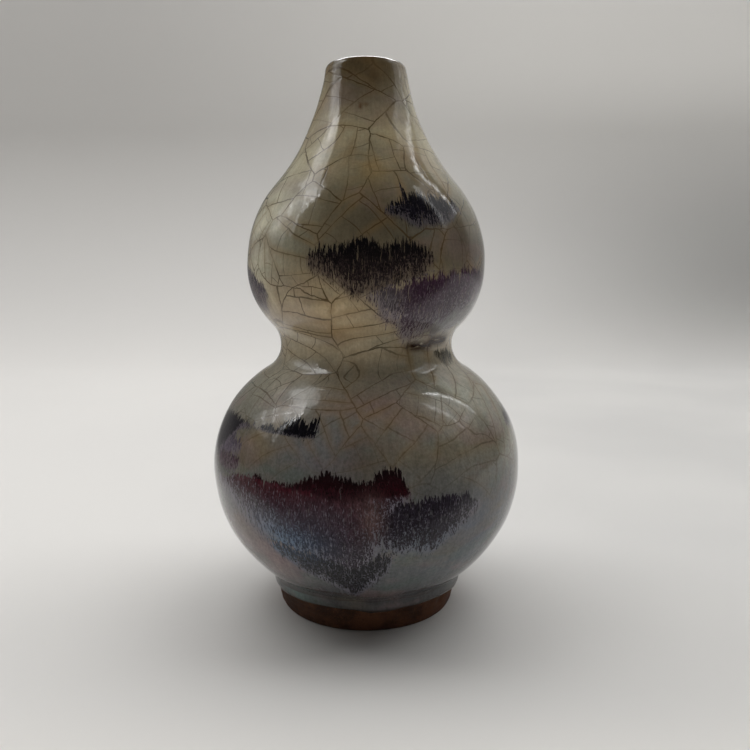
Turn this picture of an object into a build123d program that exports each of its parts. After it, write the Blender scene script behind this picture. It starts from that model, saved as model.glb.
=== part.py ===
"""Double gourd vase in stoneware under a thick crackled glaze.

Two thrown bulbs are luted together at the waist with slip, and a thrown foot ring is luted under the lower
bulb. A poured glaze lines the inside, a thicker glaze covers the outside down to a hem on the foot ring, and a
thin glaze covers the recess inside the foot. The vase stands on Z = 0 with its axis on +Z.
"""

import os
from collections import namedtuple
from math import atan2, cos, degrees, radians, sin

from build123d import *

# Driving sizes in millimetres. Radii are from the axis to the finished glaze surface unless they say arc.
# These heights stack up. An under height is from below a bulb to its belly, a crown height from there to its top.
foot_height = 8.8
lower_under_height = 40.2
lower_crown_height = 40.9
upper_under_height = 25.8
upper_crown_height = 64.3

throat_radius = 8.2
throat_length = 9.5
lip_thickness = 5.0
neck_lean = 9.0

upper_belly_radius = 39.6
upper_crown_arc = 41.0

waist_radius = 29.0
waist_arc = 9.0
waist_slip_thickness = 0.8

lower_belly_radius = 52.3
cove_arc = 6.0

wall_thickness = 4.4
base_thickness = 3.9
floor_flat_radius = 9.3
outer_glaze_thickness = 1.0
liner_glaze_thickness = 0.6

foot_radius = 32.4
foot_taper = 1.6
foot_tread_width = 5.0
foot_recess_draft = 0.8
foot_edge_round = 0.7
foot_slip_thickness = 0.5
glaze_hem_overlap = 1.4
base_glaze_thickness = 0.5

# Depths of each surface below the outer glaze.
clay_depth = outer_glaze_thickness
clay_inside_depth = clay_depth + wall_thickness
liner_depth = clay_inside_depth + liner_glaze_thickness

# Heights above the surface that the vase stands on.
lower_belly_height = foot_height + lower_under_height
waist_height = lower_belly_height + lower_crown_height
upper_belly_height = waist_height + upper_under_height
vase_height = upper_belly_height + upper_crown_height

# A round stretch of the profile: the place of its centre and its radius at the outer glaze.
Round = namedtuple("Round", "r z arc")


def angle_between(start, end):
    """Direction from one centre to another in degrees, from 0 up to 360."""
    return degrees(atan2(end.z - start.z, end.r - start.r)) % 360


def swelling_from_hollow(hollow, belly_radius, belly_height):
    """The swelling that leaves a hollow smoothly and ends upright at a belly."""
    inset = hollow.r - belly_radius
    apart = hollow.z - belly_height
    arc = (inset**2 + apart**2 - hollow.arc**2) / (2 * (hollow.arc - inset))
    return Round(belly_radius - arc, belly_height, arc)


def hollow_from_swelling(swelling, depth, upright_radius, upright_height):
    """The hollow that leaves a swelling smoothly at a depth and ends upright at a radius and height."""
    inset = upright_radius - swelling.r
    apart = upright_height - swelling.z
    arc = swelling.arc - depth
    radius = (inset**2 + apart**2 - arc**2) / (2 * (arc - inset))
    return Round(upright_radius + radius, upright_height, radius - depth)


def hollow_from_lip(lip, lean, swelling):
    """The hollow that leaves the lip at a lean from upright and runs smoothly into a swelling below."""
    out_r = cos(radians(lean))
    out_z = sin(radians(lean))
    step_r = lip.r + lip.arc * out_r - swelling.r
    step_z = lip.z + lip.arc * out_z - swelling.z
    along = step_r * out_r + step_z * out_z
    arc = (step_r**2 + step_z**2 - swelling.arc**2) / (2 * (swelling.arc - along))
    return Round(lip.r + (lip.arc + arc) * out_r, lip.z + (lip.arc + arc) * out_z, arc)


# The profile, from the lip down to the foot. Swellings lie round the axis and hollows outside them.
lip_arc = lip_thickness / 2
lip = Round(throat_radius + lip_arc, vase_height - lip_arc, lip_arc)
waist = Round(waist_radius + waist_arc, waist_height, waist_arc)
cove = Round(foot_radius + cove_arc, foot_height, cove_arc)
upper_crown = Round(upper_belly_radius - upper_crown_arc, upper_belly_height, upper_crown_arc)
upper_under = swelling_from_hollow(waist, upper_belly_radius, upper_belly_height)
lower_crown = swelling_from_hollow(waist, lower_belly_radius, lower_belly_height)
lower_under = swelling_from_hollow(cove, lower_belly_radius, lower_belly_height)
neck = hollow_from_lip(lip, neck_lean, upper_crown)
throat_flare = hollow_from_swelling(upper_crown, liner_depth, throat_radius, lip.z - throat_length)

waist_joint_top = waist_height + waist_slip_thickness / 2
waist_joint_bottom = waist_height - waist_slip_thickness / 2
hem_height = foot_height - glaze_hem_overlap
foot_ring_top = foot_height - foot_slip_thickness
foot_clay_radius = foot_radius - clay_depth
foot_tread_radius = foot_clay_radius - foot_taper
foot_tread_inner_radius = foot_tread_radius - foot_tread_width
foot_recess_radius = foot_tread_inner_radius - foot_recess_draft


def swell(stretch, depth, start, end):
    """One swelling of the profile at a depth, from one angle down to another."""
    return CenterArc((stretch.r, stretch.z), stretch.arc - depth, start, -((start - end) % 360))


def sink(stretch, depth, start, end):
    """One hollow of the profile at a depth, from one angle to another."""
    return CenterArc((stretch.r, stretch.z), stretch.arc + depth, start, end - start)


def floor_height(depth):
    """Height of the floor inside the lower bulb at a depth."""
    return foot_height + base_thickness + depth - clay_inside_depth


def bulbs(depth, hollow_above):
    """The bulbs at a depth, from the hollow above them down to the belly of the lower one."""
    swell(upper_crown, depth, angle_between(upper_crown, hollow_above), 0)
    swell(upper_under, depth, 0, angle_between(upper_under, waist))
    sink(waist, depth, angle_between(waist, upper_under), angle_between(waist, lower_crown))
    swell(lower_crown, depth, angle_between(lower_crown, waist), 0)


def outside_line(depth):
    """The outside of the vase at a depth, from the crest of the lip down to the top of the foot."""
    swell(lip, depth, 90, angle_between(lip, neck))
    sink(neck, depth, angle_between(neck, lip), angle_between(neck, upper_crown))
    bulbs(depth, neck)
    swell(lower_under, depth, 0, angle_between(lower_under, cove))
    sink(cove, depth, angle_between(cove, lower_under), 180)


def inside_line(depth, crest_depth):
    """The inside of the vase at a depth, from the crest of the lip down to the middle of the floor."""
    lip_across = lip.arc - (liner_depth - depth)
    floor = floor_height(depth)
    bowl_across = lower_belly_radius - depth - floor_flat_radius
    bowl_depth = lower_belly_height - floor
    EllipticalCenterArc((lip.r, lip.z), lip_across, lip.arc - crest_depth, 90, arc_size=90)
    Line((lip.r - lip_across, lip.z), (lip.r - lip_across, throat_flare.z))
    sink(throat_flare, depth, 180, angle_between(throat_flare, upper_crown))
    bulbs(depth, throat_flare)
    EllipticalCenterArc((floor_flat_radius, lower_belly_height), bowl_across, bowl_depth, 270, arc_size=90)
    Line((floor_flat_radius, floor), (0, floor))


def clay_outline():
    """The stoneware wall of both bulbs, from the lip to the underside of the base."""
    outside_line(clay_depth)
    inside_line(clay_inside_depth, clay_depth)
    Polyline((0, floor_height(clay_inside_depth)), (0, foot_height), (foot_clay_radius, foot_height))


def keep_band(bottom, top):
    """Keeps what the section has between two heights."""
    reach = upper_belly_radius + lower_belly_radius
    with Locations((reach / 2, (bottom + top) / 2)):
        Rectangle(reach, top - bottom, mode=Mode.INTERSECT)


with BuildPart() as upper_bulb:
    with BuildSketch(Plane.XZ):
        with BuildLine():
            clay_outline()
        make_face()
        keep_band(waist_joint_top, vase_height)
    revolve(axis=Axis.Z)

with BuildPart() as lower_bulb:
    with BuildSketch(Plane.XZ):
        with BuildLine():
            clay_outline()
        make_face()
        keep_band(0, waist_joint_bottom)
    revolve(axis=Axis.Z)

with BuildPart() as waist_slip:
    with BuildSketch(Plane.XZ):
        with BuildLine():
            clay_outline()
        make_face()
        keep_band(waist_joint_bottom, waist_joint_top)
    revolve(axis=Axis.Z)

with BuildPart() as foot_ring:
    with BuildSketch(Plane.XZ):
        with BuildLine():
            Polyline(
                (foot_clay_radius, foot_ring_top),
                (foot_clay_radius, hem_height),
                (foot_tread_radius, 0),
                (foot_tread_inner_radius, 0),
                (foot_recess_radius, foot_ring_top),
                close=True,
            )
        section = make_face()
        fillet(section.vertices().group_by(Axis.Y)[0], foot_edge_round)
    revolve(axis=Axis.Z)

with BuildPart() as foot_slip:
    with BuildSketch(Plane.XY.offset(foot_ring_top)):
        Circle(foot_clay_radius)
        Circle(foot_recess_radius, mode=Mode.SUBTRACT)
    extrude(amount=foot_slip_thickness)

with BuildPart() as outer_glaze:
    with BuildSketch(Plane.XZ):
        with BuildLine():
            outside_line(0)
            Line((foot_radius, foot_height), (foot_radius, hem_height + outer_glaze_thickness))
            CenterArc((foot_clay_radius, hem_height + outer_glaze_thickness), outer_glaze_thickness, 0, -90)
            Line((foot_clay_radius, hem_height), (foot_clay_radius, foot_height))
            outside_line(clay_depth)
            Line((lip.r, vase_height), (lip.r, vase_height - outer_glaze_thickness))
        make_face()
    revolve(axis=Axis.Z)

with BuildPart() as liner_glaze:
    with BuildSketch(Plane.XZ):
        with BuildLine():
            inside_line(liner_depth, 0)
            inside_line(clay_inside_depth, clay_depth)
            Line((0, floor_height(liner_depth)), (0, floor_height(clay_inside_depth)))
            Line((lip.r, vase_height), (lip.r, vase_height - outer_glaze_thickness))
        make_face()
    revolve(axis=Axis.Z)

with BuildPart() as base_glaze:
    with BuildSketch(Plane.XY.offset(foot_height)):
        Circle(foot_recess_radius)
    extrude(amount=-base_glaze_thickness)

pieces = {
    "upper_bulb": upper_bulb,
    "lower_bulb": lower_bulb,
    "waist_slip": waist_slip,
    "foot_ring": foot_ring,
    "foot_slip": foot_slip,
    "outer_glaze": outer_glaze,
    "liner_glaze": liner_glaze,
    "base_glaze": base_glaze,
}
os.makedirs("parts", exist_ok=True)
for name, piece in pieces.items():
    piece.part.label = name
    export_step(piece.part, f"parts/{name}.step")
    print(name, "volume", round(piece.part.volume), "mm3")
print("vase height", round(vase_height, 2), "neck arc", round(neck.arc, 2))
print("throat from", round(throat_flare.z, 2), "to", round(lip.z, 2))
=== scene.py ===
"""Looks of the double gourd vase: crackled, splashed glaze over bare stoneware, on a pale sweep.

Tables are in millimetres and degrees. Azimuth 0 faces the camera and grows towards the viewer's right.
"""
import math
from collections import namedtuple

import bpy
import numpy as np
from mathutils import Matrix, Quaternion, Vector


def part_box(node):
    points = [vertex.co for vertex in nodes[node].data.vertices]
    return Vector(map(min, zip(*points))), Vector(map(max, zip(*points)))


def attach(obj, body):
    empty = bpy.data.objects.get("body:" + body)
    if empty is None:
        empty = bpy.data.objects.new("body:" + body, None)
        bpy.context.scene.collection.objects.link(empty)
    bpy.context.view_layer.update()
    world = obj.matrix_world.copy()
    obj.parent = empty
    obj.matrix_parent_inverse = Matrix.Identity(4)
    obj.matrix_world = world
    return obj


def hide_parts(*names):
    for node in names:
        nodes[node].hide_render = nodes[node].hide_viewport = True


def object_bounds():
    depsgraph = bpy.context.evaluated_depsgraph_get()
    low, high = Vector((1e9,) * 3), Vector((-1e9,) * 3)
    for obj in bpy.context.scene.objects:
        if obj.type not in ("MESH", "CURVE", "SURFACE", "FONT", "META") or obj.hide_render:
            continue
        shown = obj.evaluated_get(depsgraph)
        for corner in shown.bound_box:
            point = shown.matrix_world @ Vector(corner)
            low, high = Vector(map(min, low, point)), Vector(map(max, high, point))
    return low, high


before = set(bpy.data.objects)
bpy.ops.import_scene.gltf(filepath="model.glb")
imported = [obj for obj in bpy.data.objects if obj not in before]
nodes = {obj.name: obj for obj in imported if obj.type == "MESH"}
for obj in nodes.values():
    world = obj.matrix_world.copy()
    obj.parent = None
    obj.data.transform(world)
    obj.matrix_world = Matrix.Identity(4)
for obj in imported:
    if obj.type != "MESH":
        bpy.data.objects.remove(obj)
cad_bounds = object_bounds()
scene = bpy.context.scene
MM = 0.001
rng = np.random.default_rng(7)


# Numbers and colours

def smooth(value, low, high):
    """Rises smoothly from 0 at low to 1 at high."""
    share = np.clip((value - low) / (high - low), 0, 1)
    return share * share * (3 - 2 * share)


def linear(colour):
    """A colour given as 0 to 255 on screen, as the light that it reflects."""
    level = np.asarray(colour, float) / 255
    return np.where(level <= 0.04045, level / 12.92, ((level + 0.055) / 1.055) ** 2.4)


def paint(colour):
    """The same for a colour socket."""
    return (*linear(colour), 1.0)


def along(azimuth, points):
    """Reads a line of (azimuth, value) points at each azimuth."""
    at, value = zip(*points)
    return np.interp(azimuth, at, value)


def side_of(azimuth, middle):
    """Azimuths brought to within half a turn of a middle."""
    return (azimuth - middle + 180) % 360 - 180 + middle


def ripples(azimuth, amount, lowest, highest):
    """A seamless ripple round the axis with this many waves to a turn, from lowest to highest."""
    total = np.zeros_like(azimuth)
    counts = np.arange(lowest, highest + 1)
    for count in counts:
        phase = rng.uniform(0, 2 * math.pi)
        total += np.cos(np.radians(azimuth) * count + phase)
    return amount * total / math.sqrt(len(counts))


# Turned meshes, read from the solids

def side_line(node, outside):
    """The radius and height of a turned node's outer or inner side, from the top down."""
    mesh = nodes[node].data
    places = np.empty(len(mesh.vertices) * 3)
    mesh.vertices.foreach_get("co", places)
    places = places.reshape(-1, 3) / MM
    corners = np.empty(len(mesh.loops), int)
    mesh.loops.foreach_get("vertex_index", corners)
    corners = corners.reshape(-1, 3)
    first, second, third = (places[corners[:, k]] for k in range(3))
    normal = np.cross(second - first, third - first)
    normal /= np.linalg.norm(normal, axis=1, keepdims=True) + 1e-12
    middle = (first + second + third)[:, :2]
    facing = (normal[:, :2] * middle).sum(1) / np.linalg.norm(middle, axis=1)
    least_facing = 0.002
    picked = facing > least_facing if outside else facing < -least_facing
    chosen = places[np.unique(corners[picked])]
    line = np.column_stack([np.hypot(chosen[:, 0], chosen[:, 1]), chosen[:, 2]])
    line = line[np.lexsort((line[:, 0], -line[:, 1]))]
    least_step = 0.05
    kept = [line[0]]
    for point in line[1:]:
        if np.hypot(*(point - kept[-1])) > least_step:
            kept.append(point)
    kept[-1] = line[-1]
    return np.array(kept)


def resample(line, count, end_weight=0.0, end_reach=6.0):
    """Spreads points evenly along a line, or closer together near its ends."""
    length = np.concatenate([[0], np.cumsum(np.hypot(*np.diff(line, axis=0).T))])
    fine_step = 0.2
    fine = np.linspace(0, length[-1], int(length[-1] / fine_step) + 2)
    points = np.column_stack([np.interp(fine, length, line[:, k]) for k in range(2)])
    kernel = np.array([1, 4, 6, 4, 1]) / 16
    padded = np.pad(points, ((2, 2), (0, 0)), mode="reflect", reflect_type="odd")
    points = np.column_stack([np.convolve(padded[:, k], kernel, "valid") for k in range(2)])
    from_end = np.minimum(fine, length[-1] - fine)
    crowd = 1 + end_weight * np.exp(-((from_end / end_reach) ** 2))
    tally = np.concatenate([[0], np.cumsum((crowd[1:] + crowd[:-1]) / 2)])
    spots = np.interp(np.linspace(0, tally[-1], count), tally, fine)
    return np.column_stack([np.interp(spots, fine, points[:, k]) for k in range(2)])


def line_normals(line):
    """Directions out of a line that runs from the top down."""
    run = np.gradient(line, axis=0)
    normal = np.column_stack([-run[:, 1], run[:, 0]])
    return normal / np.linalg.norm(normal, axis=1, keepdims=True)


def azimuths(segments):
    return np.arange(segments) * 360 / segments - 180


def ring_mesh(name, radius, height, outer_rings):
    """A closed ring of rows, each row with a radius and height at every azimuth, with a map for baking."""
    rows, segments = radius.shape
    angle = np.radians(azimuths(segments))
    places = np.stack([radius * np.sin(angle), -radius * np.cos(angle), height], axis=2).reshape(-1, 3) * MM
    row = np.arange(rows)[:, None]
    column = np.arange(segments)[None, :]
    next_row = (row + 1) % rows
    next_column = (column + 1) % segments
    corners = np.stack([
        row * segments + column,
        next_row * segments + column,
        next_row * segments + next_column,
        row * segments + next_column,
    ], axis=2).reshape(-1, 4)
    mesh = bpy.data.meshes.new(name)
    mesh.from_pydata(places.tolist(), [], corners.tolist())
    mesh.polygons.foreach_set("use_smooth", np.ones(len(corners), bool))
    # The outer side takes nearly all of the map, and the hidden side a thin strip above it.
    outer_strip = 0.97
    down = np.concatenate([
        np.linspace(0, outer_strip, outer_rings),
        np.linspace(outer_strip, 1, rows - outer_rings + 1)[1:],
        [1.0],
    ])
    across = np.arange(segments + 1) / segments
    low = np.broadcast_to(down[:-1, None], (rows, segments))
    high = np.broadcast_to(down[1:, None], (rows, segments))
    left = np.broadcast_to(across[None, :-1], (rows, segments))
    right = np.broadcast_to(across[None, 1:], (rows, segments))
    flat = np.stack([left, low, left, high, right, high, right, low], axis=2)
    layer = mesh.uv_layers.new(name="OFBake")
    layer.data.foreach_set("uv", flat.astype(np.float32).ravel())
    mesh.update()
    piece = bpy.data.objects.new(name, mesh)
    scene.collection.objects.link(piece)
    return piece


def store(piece, name, values):
    """Keeps a number or a colour for each point of a piece, for its material to read."""
    if values.ndim == 1:
        attribute = piece.data.attributes.new(name, "FLOAT", "POINT")
        attribute.data.foreach_set("value", values.astype(np.float32))
    else:
        attribute = piece.data.attributes.new(name, "FLOAT_COLOR", "POINT")
        full = np.column_stack([values, np.ones(len(values))])
        attribute.data.foreach_set("color", full.astype(np.float32).ravel())


# The outer glaze: its form

GLAZE_SEGMENTS = 360
GLAZE_RINGS = 236
GLAZE_INNER_RINGS = 26
RINGS_AT_ENDS = 2.5
LIP_KEPT = 6.0

# Unevenness of the thrown form: turns of the wheel, an oval of waves (count, amount, crest) and slow lumps.
TURN_DEPTH = 0.02
TURN_PITCH = 11.0
OVAL = [(2, 0.16, 35), (3, 0.07, -20)]
LUMP_COUNT = 14
LUMP_DEPTH = 0.03
LUMPS_ROUND = (2, 9)
LUMPS_TALL = (18, 60)

# Bands above the hem that stand out or sink in, and the share of the hem's lift that they follow.
Band = namedtuple("Band", "above tall amount follow_share")
ROLL = Band(1.7, 1.2, 0.35, 0.5)
FOLD = Band(4.6, 0.8, -0.25, 0.4)
ROLL_RIPPLE = (0.25, 4, 14)
HEM_RIPPLE = (0.07, 12, 30)
HEM_LIFTED = (0.5, 5.5)
HEM_CLEAR = 0.6
HEM_LINE = [(-180, 0.2), (-150, -0.3), (-115, 0.25), (-72, -0.5), (-50, 0.0), (-22, 0.75), (-6, 0.6),
            (3, -0.25), (12, 0.1), (26, 0.5), (46, 0.25), (66, -0.4), (100, 0.3), (130, -0.2),
            (155, 0.45), (180, 0.2)]

# Brown strokes round the waist, as relief and as a stain.
WaistMark = namedtuple("WaistMark", "start end level")
WAIST_MARKS = [WaistMark(22, 50, 91.4), WaistMark(36, 66, 92.6), WaistMark(128, 150, 91.2),
               WaistMark(-158, -128, 92.0)]
MARK_RELIEF = {"amount": 0.05, "tall": 1.3, "full_share": 0.6, "end_share": 1.2}
MARK_STAIN = {"amount": 1.5, "tall": 1.5, "full_share": 0.2, "end_share": 1.1}


def waist_mark(mark, azimuth, height, amount, tall, full_share, end_share):
    """How strongly a stroke round the waist shows at each point. It tapers towards both ends."""
    middle = (mark.start + mark.end) / 2
    reach = (mark.end - mark.start) / 2
    aside = np.abs(side_of(azimuth, middle) - middle)
    taper = 1 - smooth(aside, full_share * reach, end_share * reach)
    return amount * np.exp(-((height - mark.level) / tall) ** 2) * taper


def hem_band(band, height, hem, lift):
    """How far a band above the hem stands out at each point."""
    middle = hem + band.above
    return band.amount * np.exp(-((height - middle - band.follow_share * lift) / band.tall) ** 2)


def glaze_form():
    """Builds the glaze coat with the small unevenness of thrown clay and a wavy rolled hem."""
    outer = resample(side_line("outer_glaze", True), GLAZE_RINGS, end_weight=RINGS_AT_ENDS)
    inner = resample(side_line("outer_glaze", False)[::-1], GLAZE_INNER_RINGS)[1:-1]
    normal = line_normals(outer)
    azimuth = azimuths(GLAZE_SEGMENTS)[None, :]
    height = outer[:, 1:2]
    crest = outer[0, 1]
    hem = outer[-1, 1]
    from_crest = smooth(crest - height, 0, LIP_KEPT)

    turns = TURN_DEPTH * np.sin(2 * math.pi * height / TURN_PITCH + np.radians(azimuth))
    oval = sum(amount * np.cos(count * np.radians(azimuth - peak)) for count, amount, peak in OVAL)
    lumps = np.zeros((len(outer), GLAZE_SEGMENTS))
    for _ in range(LUMP_COUNT):
        across = rng.integers(*LUMPS_ROUND)
        tall = rng.uniform(*LUMPS_TALL)
        phase = rng.uniform(0, 2 * math.pi)
        lumps += np.cos(np.radians(azimuth) * across + 2 * math.pi * height / tall + phase)
    push = (turns + oval + LUMP_DEPTH * lumps) * from_crest
    for mark in WAIST_MARKS:
        push += waist_mark(mark, azimuth, height, **MARK_RELIEF)

    # The hem is a soft roll under a shallow groove, and it rises and falls round the foot.
    lift = along(azimuth, HEM_LINE) + ripples(azimuth, *HEM_RIPPLE)
    push += hem_band(ROLL, height, hem, lift) * (1 + ripples(azimuth, *ROLL_RIPPLE))
    push += hem_band(FOLD, height, hem, lift)
    push *= smooth(height, hem, hem + HEM_CLEAR)
    near_hem = 1 - smooth(height, hem + HEM_LIFTED[0], hem + HEM_LIFTED[1])

    radius = outer[:, 0:1] + normal[:, 0:1] * push
    level = height + normal[:, 1:2] * push + near_hem * lift
    still = np.ones((1, GLAZE_SEGMENTS))
    radius = np.vstack([radius, inner[:, 0:1] * still])
    level = np.vstack([level, inner[:, 1:2] * still])
    piece = ring_mesh("crackled_glaze_coat", radius, level, GLAZE_RINGS)
    return piece, np.broadcast_to(azimuth, radius.shape).ravel(), level.ravel()


# The outer glaze: its splashes and tints

# A splash has a spiked top and a frayed bottom, each a line of (azimuth, height) points. It rises to full
# strength and fades out over so many millimetres. Its colours are for its upper part, lower part and hairs.
Splash = namedtuple("Splash", "top bottom rise fade strength upper lower fringe")
OXBLOOD = (2.6, 19.0, 0.95, (72, 38, 44), (46, 38, 47), (126, 121, 132))
DARK_CREST = (2.4, 3.0, 1.3, (22, 8, 10), (44, 14, 20), (104, 84, 92))
DARK_DRIPS = (4.0, 7.0, 0.93, (17, 14, 21), (18, 15, 23), (116, 114, 124))
SLATE = (2.6, 8.0, 0.95, (40, 35, 44), (44, 39, 48), (120, 116, 126))
BELLY_HILLS = [(-38, 56), (-28, 55), (-19, 57), (-13, 60), (-7, 59.2), (-2, 57), (2, 58), (5, 60.5),
               (8, 61.5), (11, 60), (17, 50)]
BACK_HILLS = [(146, 58.5), (152, 57.5), (160, 60), (168, 58.5), (176, 60.5), (186, 58)]
SPLASHES = [
    # High on the upper bulb, navy
    Splash([(6, 131), (12, 135), (17.8, 137), (19.2, 143), (20.6, 138), (29, 138.5), (38, 137.5), (47, 137.5),
            (57, 133)],
           [(6, 130), (16, 127), (25, 125.5), (38, 126), (57, 131)],
           3.4, 6.5, 1.0, (11, 9, 15), (20, 17, 26), (84, 79, 84)),
    # Middle of the upper bulb, black
    Splash([(-28, 120), (-24, 122.5), (-18, 123), (-8, 124.5), (0, 126), (9, 124), (15, 125.5), (22, 124.5),
            (34, 121)],
           [(-28, 114), (-14, 106.5), (2, 103), (14, 104.5), (34, 114)],
           4.2, 13.0, 1.0, (10, 8, 11), (40, 31, 32), (100, 88, 80)),
    # Low on the upper bulb, plum
    Splash([(-7, 110), (10, 112), (22, 114.5), (34, 116), (52, 117.5), (70, 117), (84, 112), (94, 108)],
           [(-7, 108), (6, 98.5), (16, 92), (27, 89.5), (45, 91.5), (62, 97), (84, 105), (94, 107)],
           4.5, 14.0, 0.95, (58, 38, 54), (68, 54, 66), (126, 118, 124)),
    # Pale hairs under the plum
    Splash([(34, 104), (48, 108), (64, 111), (82, 109)],
           [(34, 92), (50, 91), (66, 95), (82, 104)],
           7.0, 8.0, 0.6, (116, 114, 114), (120, 118, 117), (110, 105, 105)),
    # Left edge of the upper bulb, lavender
    Splash([(-98, 110), (-90, 114), (-82, 115), (-75, 118.5), (-68, 117), (-61, 114), (-55, 113), (-48, 108)],
           [(-98, 109), (-84, 104), (-70, 98), (-58, 98), (-48, 105)],
           4.0, 11.0, 0.85, (62, 54, 64), (96, 87, 95), (128, 120, 120)),
    # Left shoulder of the lower bulb, navy
    Splash([(-108, 62), (-100, 65), (-92, 66.5), (-80, 69), (-68, 71), (-56, 70.5), (-44, 70), (-34, 70)],
           [(-108, 61.5), (-100, 59), (-92, 56), (-80, 52), (-70, 54), (-62, 59), (-54, 64.5), (-46, 66.5),
            (-34, 67)],
           2.8, 5.0, 1.15, (13, 11, 18), (30, 26, 36), (100, 92, 100)),
    # Lavender flecks below it, then a plum patch
    Splash([(-84, 63), (-66, 66), (-54, 66), (-46, 63)], [(-84, 54), (-60, 53), (-46, 58)],
           4.0, 8.0, 0.8, (70, 62, 74), (82, 72, 86), (112, 104, 112)),
    Splash([(-68, 59.5), (-56, 60.5), (-46, 59)], [(-68, 53.5), (-56, 52), (-46, 54)],
           3.0, 4.0, 0.85, (58, 36, 50), (66, 42, 54), (110, 96, 104)),
    # Shoulder of the lower bulb, black
    Splash([(-44, 70), (-34, 70), (-29, 72), (-25, 73.4), (-21, 72), (-18.5, 72.6), (-17, 73.8), (-14, 69)],
           [(-44, 67.3), (-34, 66.8), (-14, 66.6)],
           1.8, 1.9, 1.25, (10, 9, 13), (14, 12, 18), (84, 80, 84)),
    # Belly, oxblood breaking into plum streaks that run to a point
    Splash([(-70, 50), (-60, 52), (-50, 54.5)] + BELLY_HILLS,
           [(-70, 46), (-60, 42), (-46, 35), (-24, 26), (-10, 17), (-4, 14.5), (0, 20), (4, 27), (8, 36),
            (17, 47)],
           *OXBLOOD),
    # The oxblood's dark crest, thin on the left and deep on the right
    Splash([(-44, 55.4)] + BELLY_HILLS,
           [(-44, 53), (-36, 52), (-22, 51.4), (-14, 49.4), (-6, 48.6), (3, 49.4), (10, 50.5), (17, 49.6)],
           *DARK_CREST),
    # A crimson seam under the thin part of the crest
    Splash([(-42, 54.4), (-34, 54), (-26, 53.6), (-18, 53.4), (-12, 52)],
           [(-42, 52.6), (-34, 51.8), (-26, 51.4), (-18, 50.6), (-12, 50)],
           1.4, 1.4, 1.5, (70, 20, 31), (72, 26, 36), (104, 84, 92)),
    # Right of the belly, slate
    Splash([(1, 45), (11, 50.5), (18, 52), (28, 52.5), (35, 51), (44, 47)],
           [(1, 36), (13, 30.5), (24, 31.5), (34, 38), (44, 45)], *SLATE),
    # Dark drips towards the point
    Splash([(-38, 38), (-24, 36.5), (-12, 34), (-2, 32), (6, 36), (12, 40)],
           [(-38, 31), (-24, 24.5), (-10, 16.5), (-4, 14), (4, 20), (12, 30)], *DARK_DRIPS),
    # Right of the waist, green-black
    Splash([(44, 89), (52, 90.5), (66, 90), (76, 87)], [(44, 87), (56, 83), (68, 83.5), (76, 86)],
           2.0, 4.0, 0.6, (44, 40, 32), (60, 56, 46), (104, 98, 84)),
    # Round the back, high on the upper bulb
    Splash([(86, 127), (93, 131), (99, 134.5), (103, 133), (110, 135.5), (117, 133.5), (124, 134),
            (134, 128)],
           [(86, 126), (100, 121.5), (112, 119), (124, 121), (134, 126)],
           3.0, 6.0, 0.98, (12, 10, 14), (24, 20, 28), (86, 80, 84)),
    Splash([(226, 136), (233, 140), (238, 142.5), (243, 140.5), (250, 141), (262, 135)],
           [(226, 135), (238, 131), (250, 130), (262, 134)],
           3.0, 5.0, 0.97, (13, 11, 16), (26, 22, 31), (88, 82, 88)),
    # Round the back, black over plum
    Splash([(146, 119), (152, 122.5), (160, 124), (166, 126), (172, 124.5), (180, 126.5), (188, 124),
            (197, 126), (206, 124.5), (220, 119)],
           [(146, 117), (162, 109), (178, 104), (192, 106), (206, 111), (220, 117)],
           4.2, 14.0, 0.97, (12, 9, 11), (66, 53, 48), (104, 92, 82)),
    Splash([(186, 108), (198, 112), (210, 114.5), (224, 116), (240, 114), (252, 109)],
           [(186, 105), (202, 97), (216, 93), (232, 95), (252, 106)],
           4.5, 13.0, 0.95, (54, 37, 49), (64, 51, 61), (124, 115, 118)),
    # Round the back, on the shoulder of the lower bulb
    Splash([(64, 66), (70, 69), (78, 71.5), (84, 70.5), (92, 73), (100, 71), (106, 71.5), (118, 65)],
           [(64, 65.5), (74, 62), (84, 57), (90, 51), (98, 55), (108, 61), (118, 64.5)],
           2.4, 8.0, 1.02, (13, 11, 18), (40, 35, 46), (106, 98, 108)),
    Splash([(192, 69), (198, 71), (204, 73.2), (208, 72), (214, 74.2), (219, 72.4), (224, 73), (232, 69)],
           [(192, 67.5), (210, 66.6), (232, 67.5)],
           1.8, 2.2, 1.2, (10, 9, 13), (15, 13, 19), (84, 80, 84)),
    # Round the back, oxblood with a dark crest, running to a point
    Splash([(118, 50), (128, 54.5), (138, 56)] + BACK_HILLS + [(196, 57.5), (206, 54.5), (220, 49)],
           [(118, 48), (136, 38), (152, 28), (164, 20), (170, 16), (178, 21), (190, 31), (206, 41),
            (220, 47.5)],
           *OXBLOOD),
    Splash([(134, 55.2)] + BACK_HILLS + [(194, 57)],
           [(134, 53.5), (148, 51.5), (160, 49.5), (172, 49.8), (184, 51.5), (194, 53)], *DARK_CREST),
    Splash([(146, 36), (158, 33), (170, 31), (180, 34), (192, 38)],
           [(146, 31), (158, 20), (169, 14.5), (179, 21), (192, 33)], *DARK_DRIPS),
    # Right and left sides of the lower bulb, slate
    Splash([(82, 41), (92, 46), (98, 49.5), (104, 48.5), (112, 51), (120, 50), (130, 47), (142, 42)],
           [(82, 39), (96, 34), (106, 27), (114, 22), (126, 30), (142, 40)], *SLATE),
    Splash([(212, 35), (220, 40), (228, 44), (234, 42.5), (242, 46), (250, 44), (257, 45), (268, 37)],
           [(212, 34), (222, 29), (234, 24), (244, 26.5), (256, 31), (268, 36)],
           2.6, 9.0, 0.95, (40, 35, 44), (44, 39, 48), (120, 116, 126)),
]

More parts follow.
